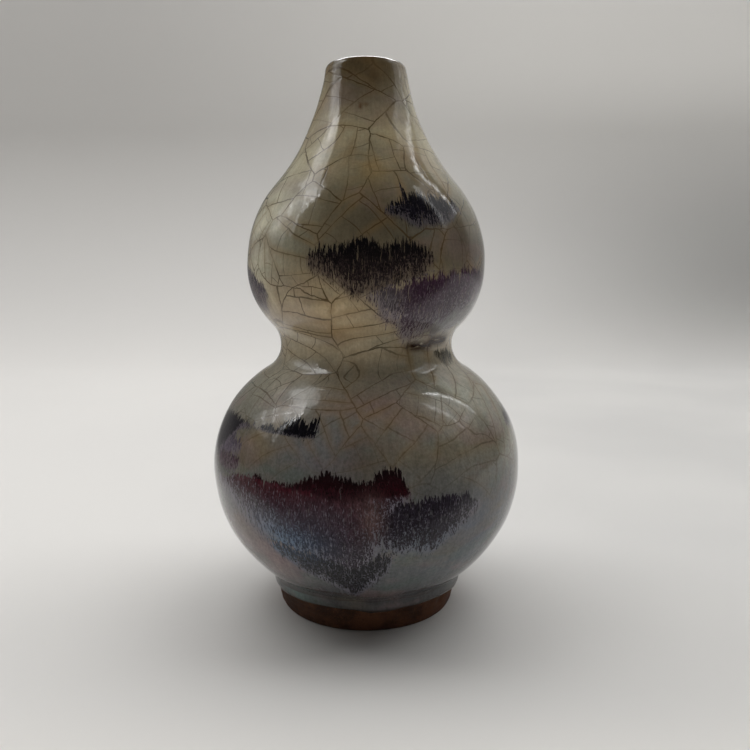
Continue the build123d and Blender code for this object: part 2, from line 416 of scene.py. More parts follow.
# The glaze's own colour at each height, from the lip down.
GLAZE_COLOURS = [
    (180, (88, 73, 50)), (174, (95, 82, 60)), (166, (118, 108, 88)), (156, (174, 162, 132)),
    (146, (164, 150, 120)), (138, (118, 109, 88)), (118, (108, 99, 80)), (104, (160, 147, 122)),
    (90, (180, 168, 145)), (80, (146, 142, 126)), (65, (108, 106, 98)), (50, (102, 102, 101)),
    (30, (96, 96, 99)), (16, (85, 85, 88)), (7, (74, 71, 71)),
]
Tint = namedtuple("Tint", "azimuth height wide tall strength colour")
# Soft patches over the glaze's own colour. Most are its own colour; three are painted light and shade, marked
# below.
TINTS = [
    Tint(-58, 137, 26, 28, 0.65, (200, 195, 168)), Tint(74, 144, 22, 20, 0.5, (156, 156, 138)),
    Tint(-58, 29, 22, 13, 0.55, (172, 156, 156)), Tint(30, 24, 30, 8, 0.4, (106, 112, 112)),
    Tint(-39, 63, 7, 4.5, 0.5, (134, 114, 80)), Tint(-1, 64, 6, 6, 0.75, (80, 62, 45)),
    Tint(2, 76, 22, 4, 0.55, (146, 118, 106)), Tint(42, 62, 20, 3, 0.55, (122, 100, 68)),
    Tint(38, 77.5, 18, 4.5, 0.65, (186, 185, 166)), Tint(-34, 80, 14, 5, 0.6, (190, 180, 164)),
    Tint(34, 70, 13, 6, 0.65, (174, 172, 162)), Tint(-20, 96.3, 26, 1.6, 0.5, (124, 96, 54)),
    Tint(-18, 62, 12, 6, 0.5, (116, 112, 120)), Tint(8, 47.5, 4, 3.5, 0.7, (126, 124, 142)),
    Tint(14, 36, 8, 6, 0.4, (112, 122, 112)), Tint(-42, 27, 14, 9, 0.5, (150, 136, 128)),
    Tint(3, 144, 8, 4.5, 0.65, (172, 140, 86)), Tint(-10, 149.5, 6, 3, 0.45, (148, 120, 74)),
    Tint(-5, 164, 2.0, 0.9, 1.0, (80, 50, 18)), Tint(0.5, 164.3, 3.2, 0.45, 0.8, (92, 62, 28)),
    Tint(10, 173.5, 9, 3.5, 0.55, (76, 56, 28)), Tint(-76, 164, 24, 16, 0.5, (190, 178, 142)),
    Tint(72, 162, 26, 18, 0.65, (208, 200, 172)), Tint(46, 125, 18, 11, 0.65, (76, 71, 64)),
    Tint(4, 140, 26, 13, 0.5, (98, 86, 60)), Tint(-28, 103, 30, 11, 0.8, (206, 184, 148)),
    Tint(58, 99, 24, 10, 0.6, (134, 134, 130)), Tint(0, 72, 30, 9, 0.5, (108, 94, 80)),
    Tint(-60, 95, 26, 12, 0.5, (172, 164, 142)), Tint(0, 90, 40, 4, 0.65, (206, 190, 160)),
    Tint(-35, 29, 16, 6, 0.5, (132, 112, 116)), Tint(12, 71, 14, 6, 0.5, (140, 122, 108)),
    Tint(-44, 10, 11, 3, 0.6, (104, 134, 128)), Tint(38, 36, 16, 10, 0.5, (104, 114, 134)),
    Tint(29, 63, 26, 4, 0.5, (112, 104, 82)), Tint(40, 57, 14, 5, 0.55, (136, 137, 131)),
    # A painted highlight: a pale patch on the left edge of the upper bulb that stands for the light reflected
    # there.
    Tint(-58, 126, 20, 17, 0.75, (220, 216, 194)),
    Tint(-15, 95, 6, 2.5, 0.45, (150, 122, 80)), Tint(10, 129, 22, 6, 0.55, (72, 66, 56)),
    Tint(26, 141, 12, 6, 0.5, (110, 106, 95)), Tint(-12, 67, 14, 8, 0.45, (104, 102, 110)),
    # Painted shade: the first patch on the next line darkens the right side low down near the floor, and the
    # second darkens the crease just below the waist on the right.
    Tint(58, 20, 18, 8, 0.4, (68, 68, 72)), Tint(36, 85.5, 22, 4, 0.65, (112, 105, 90)),
    Tint(72, 118, 14, 10, 0.5, (76, 68, 70)), Tint(66, 64, 18, 10, 0.5, (168, 168, 150)),
    Tint(150, 66, 26, 6, 0.5, (140, 120, 106)), Tint(-130, 35, 24, 9, 0.45, (104, 114, 130)),
    Tint(180, 140, 20, 12, 0.35, (138, 146, 126)), Tint(-150, 95, 8, 3, 0.4, (148, 122, 82)),
    Tint(110, 100, 16, 8, 0.35, (150, 132, 104)),
]
# Lights inside the splashes: grey-blue, steel blue, plum and a pale brown smear.
SPLASH_TINTS = [
    Tint(10, 106, 8, 4.5, 0.75, (98, 95, 97)), Tint(-24, 37, 13, 6, 0.8, (44, 62, 86)),
    Tint(-36, 42, 8, 5, 0.6, (48, 56, 74)), Tint(-15, 45, 15, 5, 0.55, (84, 76, 86)),
    Tint(2.5, 45, 3.5, 6, 0.75, (112, 90, 87)), Tint(0, 50, 6, 2.4, 0.4, (88, 68, 70)),
    Tint(152, 36, 12, 6, 0.7, (48, 66, 90)), Tint(182, 45, 4, 6, 0.6, (110, 90, 88)),
    Tint(200, 105, 8, 4.5, 0.7, (98, 95, 97)),
]
# Blue in the pale hairs between the streaks.
FRINGE_TINTS = [
    Tint(-27, 37, 13, 7, 0.85, (94, 124, 154)), Tint(20, 38, 14, 6, 0.6, (104, 120, 134)),
    Tint(150, 36, 13, 7, 0.8, (94, 124, 154)), Tint(45, 100, 16, 8, 0.5, (112, 116, 126)),
]
# Shares at each height: how clear the crackle is, and how much the glaze clouds and streaks.
CRACKLE_SHARES = [(0, 0.0), (16, 0.0), (28, 0.06), (42, 0.2), (56, 0.38), (68, 0.6), (80, 0.85), (90, 1.0),
                  (180, 1.0)]
BLOOM_SHARES = [(0, 0.9), (60, 1.0), (80, 0.8), (94, 0.6), (110, 0.6), (180, 0.6)]
SPLASH_SIDE = 5.0
LONG_FADE = 14.0
LOWER_COLOUR_SHARES = (0.1, 0.6)
OVERLAP_BLEND = 0.15
TOP_RAGGED = (0.5, 26, 60)
BOTTOM_FRAYED = (1.1, 9, 34)
CLEAR_CORE = (30, 27, 40)
CLEAR_FRINGE = (110, 104, 116)

# Wear at the lip's crest and at the hem: its strength, and the distances at which it starts and stops fading.
CREST_WEAR = (0.5, 0.3, 2.0)
HEM_WEAR = (0.8, 0.4, 1.6)


def paint_splash(splash, azimuth, height, ragged, frayed):
    """How far each point is inside a splash's spiked top and its frayed bottom, and the colour there."""
    start = splash.top[0][0]
    end = splash.top[-1][0]
    turned = side_of(azimuth, (start + end) / 2)
    top = along(turned, splash.top) + ragged
    bottom = along(turned, splash.bottom) + frayed * splash.fade / LONG_FADE
    within = smooth(turned, start, start + SPLASH_SIDE) * smooth(-turned, -end, SPLASH_SIDE - end)
    below_top = within * smooth(top - height, 0, splash.rise)
    above_bottom = splash.strength * within * smooth(height - bottom, 0, splash.fade)
    depth = smooth((top - height) / np.maximum(top - bottom, 1), *LOWER_COLOUR_SHARES)[:, None]
    colour = linear(splash.upper) * (1 - depth) + linear(splash.lower) * depth
    return np.column_stack([below_top, above_bottom, depth]), colour


def tinted(colours, tints, azimuth, height):
    """Washes soft patches of other colours, among them some painted light and shade, over the colours of a
    coat.
    """
    for tint in tints:
        aside = (side_of(azimuth, tint.azimuth) - tint.azimuth) / tint.wide
        above = (height - tint.height) / tint.tall
        weight = (tint.strength * np.exp(-aside**2 - above**2))[:, None]
        colours = colours * (1 - weight) + linear(tint.colour) * weight
    return colours


def wear(amount, distance):
    """How thin the glaze is at a distance from an edge."""
    strength, start, end = amount
    return strength * (1 - smooth(distance, start, end))


def paint_glaze(piece, azimuth, height):
    """Stores the splashes, the glaze's own colours and the strength of its crackle on the coat."""
    ragged = ripples(azimuth, *TOP_RAGGED)
    frayed = ripples(azimuth, *BOTTOM_FRAYED)
    edges = np.zeros((len(azimuth), 3))
    core = np.tile(linear(CLEAR_CORE), (len(azimuth), 1))
    fringe = np.tile(linear(CLEAR_FRINGE), (len(azimuth), 1))
    for splash in SPLASHES:
        reach, colour = paint_splash(splash, azimuth, height, ragged, frayed)
        share = reach[:, 0] * reach[:, 1]
        lead = share - edges[:, 0] * edges[:, 1]
        weight = (smooth(lead, -OVERLAP_BLEND, OVERLAP_BLEND) * (share > 0))[:, None]
        core = core * (1 - weight) + colour * weight
        fringe = fringe * (1 - weight) + linear(splash.fringe) * weight
        edges = np.where(lead[:, None] > 0, reach, edges)
    core = tinted(core, SPLASH_TINTS, azimuth, height)
    fringe = tinted(fringe, FRINGE_TINTS, azimuth, height)
    levels, colours = zip(*reversed(GLAZE_COLOURS))
    table = np.array([linear(colour) for colour in colours])
    body = np.column_stack([np.interp(height, levels, table[:, k]) for k in range(3)])
    body = tinted(body, TINTS, azimuth, height)
    thin = wear(CREST_WEAR, height.max() - height) + wear(HEM_WEAR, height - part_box("outer_glaze")[0].z / MM)
    for mark in WAIST_MARKS:
        thin = np.maximum(thin, waist_mark(mark, azimuth, height, **MARK_STAIN))
    store(piece, "splash_edges", edges)
    store(piece, "splash_core", core)
    store(piece, "splash_fringe", fringe)
    store(piece, "glaze_body", body)
    store(piece, "crackle", along(height, CRACKLE_SHARES))
    store(piece, "bloom", along(height, BLOOM_SHARES))
    store(piece, "thin", np.clip(thin, 0, 1))


# Materials

HALF = (0.5, 0.5, 0.5)


class Graph:
    """A tree of nodes, added one at a time. Values may be numbers or other nodes' outputs."""

    def __init__(self, tree):
        self.tree = tree

    def add(self, kind, inputs, **settings):
        node = self.tree.nodes.new(kind)
        for key, value in settings.items():
            setattr(node, key, value)
        for key, value in inputs.items():
            if isinstance(value, bpy.types.NodeSocket):
                self.tree.links.new(value, node.inputs[key])
            else:
                node.inputs[key].default_value = value
        return node

    def math(self, operation, *values, clamp=False):
        node = self.add("ShaderNodeMath", dict(enumerate(values)), operation=operation, use_clamp=clamp)
        return node.outputs[0]

    def vector(self, operation, *values):
        node = self.add("ShaderNodeVectorMath", dict(enumerate(values)), operation=operation)
        return node.outputs["Value" if operation in ("DOT_PRODUCT", "LENGTH") else "Vector"]

    def mix(self, factor, first, second):
        node = self.add("ShaderNodeMix", {0: factor, 6: first, 7: second}, data_type="RGBA")
        return node.outputs[2]

    def remap(self, value, low, high, start=0.0, end=1.0):
        node = self.add("ShaderNodeMapRange", {0: value, 1: low, 2: high, 3: start, 4: end},
                        interpolation_type="SMOOTHSTEP")
        return node.outputs[0]

    def vary(self, noise, low=0.0, high=1.0):
        """Stretches the middle of a noise, where nearly all of it lies, from low to high."""
        return self.remap(noise, 0.3, 0.7, low, high)

    def noise(self, place, size, detail=2.0, roughness=0.5, colour=False):
        """Noise whose lumps are about this many millimetres across."""
        node = self.add("ShaderNodeTexNoise",
                        {"Vector": place, "Scale": 1 / size, "Detail": detail, "Roughness": roughness})
        return node.outputs[1 if colour else 0]

    def stored(self, name, colour=False):
        node = self.add("ShaderNodeAttribute", {}, attribute_name=name)
        return node.outputs["Color" if colour else "Fac"]

    def tone(self, colour, level):
        """A colour made brighter or darker."""
        levels = self.add("ShaderNodeCombineXYZ", dict.fromkeys(range(3), level))
        return self.vector("MULTIPLY", colour, levels.outputs[0])

    def bump(self, height, depth, below=None):
        inputs = {"Height": height, "Distance": depth * MM, "Strength": 1.0}
        if below is not None:
            inputs["Normal"] = below
        return self.add("ShaderNodeBump", inputs).outputs[0]


class Surface(Graph):
    """A material, with its shader and the place of each point in millimetres."""

    def __init__(self, name, **shader):
        self.material = bpy.data.materials.new(name)
        self.material.use_nodes = True
        super().__init__(self.material.node_tree)
        self.tree.nodes.clear()
        self.shader = self.add("ShaderNodeBsdfPrincipled", shader)
        self.add("ShaderNodeOutputMaterial", {"Surface": self.shader.outputs[0]})
        coordinates = self.add("ShaderNodeTexCoord", {})
        self.place = self.vector("MULTIPLY", coordinates.outputs["Object"], (1 / MM, 1 / MM, 1 / MM))

    def set(self, **sockets):
        """Links outputs to the shader's sockets, with underscores for spaces."""
        for key, value in sockets.items():
            self.tree.links.new(value, self.shader.inputs[key.replace("_", " ")])


# The net of cracks: sizes in millimetres, and shares of a cell
CRACK_CELL = 18.5
LINER_CELL = 18.0
BEND_SIZE = 30.0
BEND = (9.0, 9.0, 9.0)
SHIVER_SIZE = 3.0
SHIVER = (0.8, 0.8, 0.8)
LEAST_SLANT = 0.3
STRIP_SHARES = (0.28, 0.52)
RUNG_LEAST_SHARE = 0.27
RUNG_ADDED_SHARE = 0.3
CELL_SEEDS = 91.0
STEP_SEED = 3.0
START_SEED = 1.0


def crack_lines(g, cell):
    """Distances in millimetres to a net of cracks: long ones, strips between them and rungs across those.

    With them comes a random number for each rung, by which some rungs are left out.
    """
    bend = g.vector("SUBTRACT", g.noise(g.place, BEND_SIZE, 1.0, colour=True), HALF)
    shiver = g.vector("SUBTRACT", g.noise(g.place, SHIVER_SIZE, 2.0, colour=True), HALF)
    bent = g.vector("MULTIPLY_ADD", bend, BEND, g.place)
    bent = g.vector("MULTIPLY_ADD", shiver, SHIVER, bent)
    spot = g.vector("MULTIPLY", bent, (1 / cell, 1 / cell, 1 / cell))
    nearest = g.add("ShaderNodeTexVoronoi", {"Vector": spot, "Scale": 1.0}, feature="F1").outputs
    second = g.add("ShaderNodeTexVoronoi", {"Vector": spot, "Scale": 1.0}, feature="F2").outputs
    facing = g.add("ShaderNodeNewGeometry", {}).outputs["Normal"]

    def lines(strip, spacing):
        """Distance to the nearest of a set of lines this far apart."""
        off_line = g.math("SUBTRACT", strip, g.math("ROUND", strip))
        return g.math("MULTIPLY", g.math("ABSOLUTE", off_line), spacing)

    def draw(*numbers):
        """A random number from three numbers."""
        key = g.add("ShaderNodeCombineXYZ", dict(enumerate(numbers))).outputs[0]
        return g.add("ShaderNodeTexWhiteNoise", {"Vector": key}, noise_dimensions="3D").outputs["Value"]

    # Between two cells the crack is a plane, so its distance is measured along the surface that it cuts.
    across = g.vector("NORMALIZE", g.vector("SUBTRACT", second["Position"], nearest["Position"]))
    centre = g.vector("MULTIPLY", g.vector("ADD", second["Position"], nearest["Position"]), HALF)
    lean = g.vector("DOT_PRODUCT", across, facing)
    slant = g.math("SQRT", g.math("SUBTRACT", 1.0, g.math("MULTIPLY", lean, lean), clamp=True))
    gap = g.vector("DOT_PRODUCT", g.vector("SUBTRACT", centre, spot), across)
    gap = g.math("DIVIDE", gap, g.math("MAXIMUM", slant, LEAST_SLANT))
    long_gap = g.math("MULTIPLY", g.math("ABSOLUTE", gap), cell)

    # Each cell is cut into strips in a direction of its own, and each strip has rungs at a step of its own.
    chance = g.add("ShaderNodeSeparateXYZ", {0: nearest["Color"]}).outputs
    inside = g.vector("SUBTRACT", spot, nearest["Position"])
    tilt = g.vector("SUBTRACT", nearest["Color"], HALF)
    split = g.vector("NORMALIZE", g.vector("CROSS_PRODUCT", tilt, facing))
    rung = g.vector("NORMALIZE", g.vector("CROSS_PRODUCT", split, facing))
    strip_width = g.remap(chance[0], 0.0, 1.0, *STRIP_SHARES)
    strip = g.math("DIVIDE", g.vector("DOT_PRODUCT", inside, split), strip_width)
    strip = g.math("ADD", strip, chance[1])
    strip_gap = lines(strip, g.math("MULTIPLY", strip_width, cell))
    row = g.math("FLOOR", strip)
    seed = g.math("MULTIPLY", chance[2], CELL_SEEDS)
    rung_step = g.math("MULTIPLY_ADD", draw(row, seed, STEP_SEED), RUNG_ADDED_SHARE, RUNG_LEAST_SHARE)
    place_in_row = g.math("DIVIDE", g.vector("DOT_PRODUCT", inside, rung), rung_step)
    place_in_row = g.math("ADD", place_in_row, draw(row, seed, START_SEED))
    rung_gap = lines(place_in_row, g.math("MULTIPLY", rung_step, cell))
    shown = draw(row, seed, g.math("ROUND", place_in_row))
    return long_gap, strip_gap, rung_gap, shown


STAIN = (138, 110, 68)
RUST = (72, 54, 27)
DARK_RUST = (48, 38, 23)
LINER_RUST = (70, 54, 34)
WORN_GLAZE = (50, 29, 11)
DRIFT_COLOURS = ((138, 114, 112), (94, 110, 102), (112, 102, 84))


def glaze_hairs(g):
    """Makes upright hairs in a glaze, with so many to a radian and of a length in millimetres."""
    around = g.vector("NORMALIZE", g.vector("MULTIPLY", g.place, (1.0, 1.0, 0.0)))
    wander = g.vector("SUBTRACT", g.noise(g.place, 2.4, 2.0, colour=True), HALF)
    around = g.vector("MULTIPLY_ADD", wander, (0.02, 0.02, 0.0), around)

    def hairs(across, length, detail):
        spread = g.vector("MULTIPLY", g.place, (0.0, 0.0, 1 / length))
        return g.noise(g.vector("MULTIPLY_ADD", around, (across, across, 0.0), spread), 1.0, detail, 0.6)

    return hairs


def stained_cracks(g, patches, mask):
    """How dark the cracks are, faintest under a splash, and the stain that has soaked in beside them."""
    crackle = g.stored("crackle")
    long_gap, strip_gap, rung_gap, rung_shown = crack_lines(g, CRACK_CELL)
    width = g.vary(g.noise(g.place, 5.0, 2.0), 0.19, 0.4)
    long_line = g.remap(g.math("DIVIDE", long_gap, width), 0.3, 1.0, 1.0, 0.0)
    strip_line = g.remap(g.math("DIVIDE", strip_gap, width), 0.3, 0.95, 0.9, 0.0)
    rung_line = g.remap(g.math("DIVIDE", rung_gap, width), 0.25, 0.8, 0.8, 0.0)
    rung_line = g.math("MULTIPLY", rung_line, g.remap(rung_shown, 0.35, 0.4))
    line = g.math("MAXIMUM", long_line, g.math("MAXIMUM", strip_line, rung_line))
    line = g.math("MULTIPLY", line, g.remap(g.noise(g.place, 11.0, 2.0), 0.3, 0.6, 0.35, 1.0))
    line = g.math("MULTIPLY", line, crackle)
    line = g.math("MULTIPLY", line, g.math("SUBTRACT", 1.0, g.math("MULTIPLY", mask, 0.75)))
    stain = g.remap(g.math("MINIMUM", long_gap, strip_gap), 0.0, 2.6, 1.0, 0.0)
    stain = g.math("MULTIPLY", stain, g.remap(patches, 0.35, 0.7))
    stain = g.math("MULTIPLY", stain, g.math("MULTIPLY", crackle, 0.45))
    return line, stain


def clouded_body(g, mottle, streak):
    """The glaze's own colour with clouds, drifts of other colours, streaks and grain."""
    bloom = g.stored("bloom")
    shade = g.vary(g.noise(g.place, 34.0, 3.0, 0.6), 0.84, 1.14)
    shade = g.math("MULTIPLY", shade, g.vary(mottle, 0.95, 1.05))
    body = g.tone(g.stored("glaze_body", colour=True), shade)
    banded = g.vector("MULTIPLY", g.place, (1.0, 1.0, 2.0))
    drifts = g.add("ShaderNodeSeparateXYZ", {0: g.noise(banded, 21.0, 3.0, 0.55, colour=True)}).outputs
    for drift, colour in zip(drifts, DRIFT_COLOURS):
        share = g.math("MULTIPLY", g.remap(drift, 0.5, 0.68, 0.0, 0.4), bloom)
        body = g.mix(share, body, paint(colour))
    grain = g.math("ADD", streak, g.vary(g.noise(g.place, 0.9, 3.0, 0.7), -0.16, 0.16))
    return g.tone(body, g.math("MULTIPLY_ADD", grain, bloom, 1.0))


def glaze_material():
    """Thick glossy glaze: stained cracks under the surface and splashes that break into hair-thin streaks."""
    g = Surface("crackle_glaze", Roughness=0.1, IOR=1.52)
    hairs = glaze_hairs(g)
    patches = g.noise(g.place, 17.0, 2.0)
    mottle = g.noise(g.place, 3.2, 3.0, 0.6)
    fine = hairs(170.0, 1.3, 2.0)

    # Where the splashes are: their spiked tops, their flecked bottoms and a veil of pale hairs round them
    below_top, above_bottom, depth = g.add(
        "ShaderNodeSeparateXYZ", {0: g.stored("splash_edges", colour=True)}).outputs
    fringe = g.stored("splash_fringe", colour=True)
    flecks = g.math("MULTIPLY", fine, 0.55)
    flecks = g.remap(g.math("MULTIPLY_ADD", hairs(85.0, 4.0, 2.0), 0.45, flecks), 0.35, 0.65)
    over_top = g.math("SUBTRACT", below_top, g.vary(hairs(95.0, 5.5, 3.0)))
    over_bottom = g.math("SUBTRACT", above_bottom, flecks)
    mask = g.math("MULTIPLY", g.remap(over_top, -0.08, 0.14), g.remap(over_bottom, -0.12, 0.14))
    veil = g.math("MULTIPLY", g.remap(over_top, -0.15, 0.3), g.remap(above_bottom, 0.0, 0.45))

    # The splashes' own colour, streaked and specked
    deep = g.math("MULTIPLY", g.vary(hairs(40.0, 3.0, 3.0), 0.75, 1.25), g.vary(fine, 0.6, 1.45))
    dots = g.remap(g.noise(g.place, 0.62, 1.0), 0.56, 0.7)
    specks = g.math("MAXIMUM", dots, g.remap(fine, 0.58, 0.72))
    specks = g.math("MULTIPLY", specks, g.remap(patches, 0.3, 0.62, 0.25, 0.85))
    specks = g.math("MULTIPLY", specks, g.remap(above_bottom, 1.08, 0.86))
    specks = g.math("MULTIPLY", specks, g.remap(depth, 0.0, 0.7, 0.1, 1.0))
    core = g.mix(specks, g.tone(g.stored("splash_core", colour=True), deep), fringe)

    # The coat from the body up: stain, cracks, veil, splashes and worn edges
    line, stain = stained_cracks(g, patches, mask)
    streak = g.math("ADD", g.vary(hairs(34.0, 12.0, 4.0), -0.1, 0.1), g.remap(fine, 0.25, 0.75, -0.06, 0.06))
    rust = g.mix(g.remap(g.noise(g.place, 36.0, 2.0), 0.4, 0.6), paint(DARK_RUST), paint(RUST))
    brushed = g.vector("MULTIPLY", g.place, (1.0, 1.0, 3.5))
    worn = g.math("MULTIPLY", g.stored("thin"), g.remap(g.noise(brushed, 3.6, 3.0), 0.2, 0.42))
    coat = g.mix(stain, clouded_body(g, mottle, streak), paint(STAIN))
    coat = g.mix(g.math("MULTIPLY", line, 0.82), coat, rust)
    coat = g.mix(g.math("MULTIPLY", veil, 0.9), coat, fringe)
    coat = g.mix(mask, coat, core)
    coat = g.mix(worn, coat, paint(WORN_GLAZE))

    rough = g.math("MULTIPLY_ADD", worn, 0.12, g.vary(mottle, 0.035, 0.08))
    bumps = g.bump(g.noise(g.place, 1.5, 2.0), 0.012)
    bumps = g.bump(hairs(26.0, 22.0, 3.0), 0.045, bumps)
    bumps = g.bump(g.math("SUBTRACT", 1.0, line), 0.02, bumps)
    g.set(Base_Color=coat, Roughness=rough, Normal=bumps)
    return g.material


def clay_material(name, colour, dark, pale):
    """Fired clay with grain, sand specks and a little flashing."""
    g = Surface(name, Roughness=0.8, IOR=1.35)
    cloud = g.noise(g.place, 9.0, 3.0, 0.6)
    grain = g.noise(g.place, 0.55, 3.0, 0.7)
    specks = g.noise(g.place, 0.8, 1.0)
    body = g.mix(g.remap(cloud, 0.35, 0.68), paint(dark), paint(colour))
    body = g.mix(g.math("MULTIPLY", g.remap(grain, 0.5, 0.72), 0.5), body, paint(pale))
    body = g.mix(g.math("MULTIPLY", g.remap(specks, 0.64, 0.72), 0.7), body, paint(dark))
    g.set(Base_Color=body, Roughness=g.vary(grain, 0.62, 0.85),
          Normal=g.bump(g.math("ADD", grain, cloud), 0.12))
    return g.material


def plain_glaze_material(name, colour, dark):
    """The thinner glazes inside the vase and under its base."""
    g = Surface(name, Roughness=0.16, IOR=1.5)
    cloud = g.noise(g.place, 12.0, 3.0, 0.6)
    long_gap, strip_gap = crack_lines(g, LINER_CELL)[:2]
    line = g.remap(g.math("MINIMUM", long_gap, strip_gap), 0.12, 0.4, 0.6, 0.0)
    body = g.mix(g.remap(cloud, 0.35, 0.65), paint(dark), paint(colour))
    body = g.mix(line, body, paint(LINER_RUST))
    g.set(Base_Color=body, Roughness=g.vary(cloud, 0.12, 0.24),
          Normal=g.bump(g.noise(g.place, 1.6, 2.0), 0.02))
    return g.material


# The bare foot

FOOT_SEGMENTS = 300
FOOT_STEP = 0.45
TREAD_KEPT = 1.2
UNDER_GLAZE_KEPT = (1.6, 0.6)
TOOL_DEPTH = 0.09
TOOL_PITCH = 1.9
FOOT_RIPPLE = (0.08, 5, 40)
Chip = namedtuple("Chip", "azimuth height wide tall depth")
CHIPS = [Chip(53, 5.4, 3.0, 1.1, 0.55), Chip(-140, 1.2, 4.0, 1.3, 0.5), Chip(152, 4.6, 2.5, 1.0, 0.35)]


def foot_form():
    """The turned foot ring with tool marks, worn edges and small chips."""
    outer = side_line("foot_ring", True)
    inner = side_line("foot_ring", False)[::-1]
    line = np.vstack([outer, inner, outer[:1]])
    length = np.hypot(*np.diff(line, axis=0).T).sum()
    line = resample(line, int(length / FOOT_STEP))[:-1]
    azimuth = azimuths(FOOT_SEGMENTS)[None, :]
    height = line[:, 1:2]
    top = outer[0, 1]
    under_glaze = smooth(height, top - UNDER_GLAZE_KEPT[0], top - UNDER_GLAZE_KEPT[1])
    shown = smooth(height, 0.0, TREAD_KEPT) * (1 - under_glaze)
    inside = line[:, 0:1] < (outer[-1, 0] + inner[0, 0]) / 2
    out = np.where(inside, -1.0, 1.0)
    push = TOOL_DEPTH * np.sin(2 * math.pi * height / TOOL_PITCH + 2 * np.radians(azimuth))
    push = push + ripples(azimuth, *FOOT_RIPPLE)
    for chip in CHIPS:
        aside = (side_of(azimuth, chip.azimuth) - chip.azimuth) / chip.wide
        push = push - chip.depth * np.exp(-aside**2 - ((height - chip.height) / chip.tall) ** 2) * ~inside
    radius = line[:, 0:1] + out * push * shown
    level = np.broadcast_to(height, radius.shape)
    return ring_mesh("bare_clay_foot", radius, level, len(line) // 2)


# Stage, lights and camera, in metres

VASE_MIDDLE = cad_bounds[1][2] / 2
BEND_STEPS = 25
BAR_GLOW = 5.0
BAR_EDGE = (0.008, 0.025)
WORLD_LEVEL = 0.1
WORLD_GLOSS = 0.03
WORLD_SHOWN = 0.62
WORLD_COLOUR = (1.0, 0.985, 0.96, 1.0)
CAMERA_PLACE = (0.003, -0.2517, 0.118)
CAMERA_DOWN = 8.9
CAMERA_LENS = 35.52
CAMERA_SENSOR = 36.0


def sweep(name, front, back, bend, top, side):
    """A floor that curves up into a wall behind the vase."""
    turn = np.radians(np.linspace(0, 90, BEND_STEPS))
    line = [(front, 0.0)]
    line += [(back - bend + bend * math.sin(a), bend - bend * math.cos(a)) for a in turn]
    line.append((back, top))
    places = [(x, y, z) for y, z in line for x in (-side, side)]
    faces = [(2 * k, 2 * k + 1, 2 * k + 3, 2 * k + 2) for k in range(len(line) - 1)]
    mesh = bpy.data.meshes.new(name)
    mesh.from_pydata(places, [], faces)
    mesh.polygons.foreach_set("use_smooth", [True] * len(faces))
    piece = bpy.data.objects.new(name, mesh)
    scene.collection.objects.link(piece)
    return piece


def paper_material():
    """Pale paper with painted light and shade.

    Painted shade greys it towards the right and on the wall behind, with a painted shadow in its far right
    corner, and painted light makes it brighter and warmer in front and brighter high up the wall. The gloss of
    the vase mirrors it as dark in front and grey on the left, painted shade that only the gloss sees, so that
    the splashes stay deep.
    """
    g = Surface("paper", Roughness=0.6, IOR=1.4)
    side, depth, height = g.add("ShaderNodeSeparateXYZ", {0: g.place}).outputs
    # Painted shade: greyer towards the right.
    pale = g.mix(g.remap(side, -250.0, 250.0), paint((222, 220, 217)), paint((197, 196, 194)))
    pale = g.mix(g.vary(g.noise(g.place, 160.0, 2.0), 0.0, 0.25), pale, paint((228, 226, 222)))
    # Painted light: brighter and warmer in front.
    pale = g.mix(g.remap(depth, -60.0, -150.0), pale, paint((232, 228, 221)))
    # Painted shade: darker on the wall behind.
    pale = g.mix(g.remap(depth, 450.0, 830.0), pale, paint((206, 204, 201)))
    # Painted light: brighter high up the wall, most towards the right.
    above = g.math("MULTIPLY", g.remap(side, -400.0, 300.0), g.remap(height, 150.0, 400.0))
    pale = g.mix(above, pale, paint((238, 236, 232)))
    # Painted shadow: dark in the far right corner, low on the wall.
    corner = g.math("MULTIPLY", g.remap(side, 0.0, 600.0), g.remap(depth, 480.0, 760.0))
    corner = g.math("MULTIPLY", corner, g.remap(height, 60.0, 400.0, 0.95, 0.0))
    pale = g.mix(corner, pale, paint((140, 139, 136)))
    # Painted shade that only the gloss sees: grey on the left and dark in front.
    gloss = g.add("ShaderNodeLightPath", {}).outputs["Is Glossy Ray"]
    left = g.math("MULTIPLY", g.remap(side, -90.0, -300.0), gloss)
    pale = g.mix(left, pale, paint((120, 118, 115)))
    front = g.math("MULTIPLY", g.remap(depth, -40.0, -110.0), gloss)
    g.set(Base_Color=g.mix(front, pale, paint((40, 39, 38))))
    return g.material


def direction(azimuth, elevation):
    """The direction from the vase towards an azimuth and an elevation."""
    flat = math.cos(math.radians(elevation))
    turn = math.radians(azimuth)
    return Vector((flat * math.sin(turn), -flat * math.cos(turn), math.sin(math.radians(elevation))))


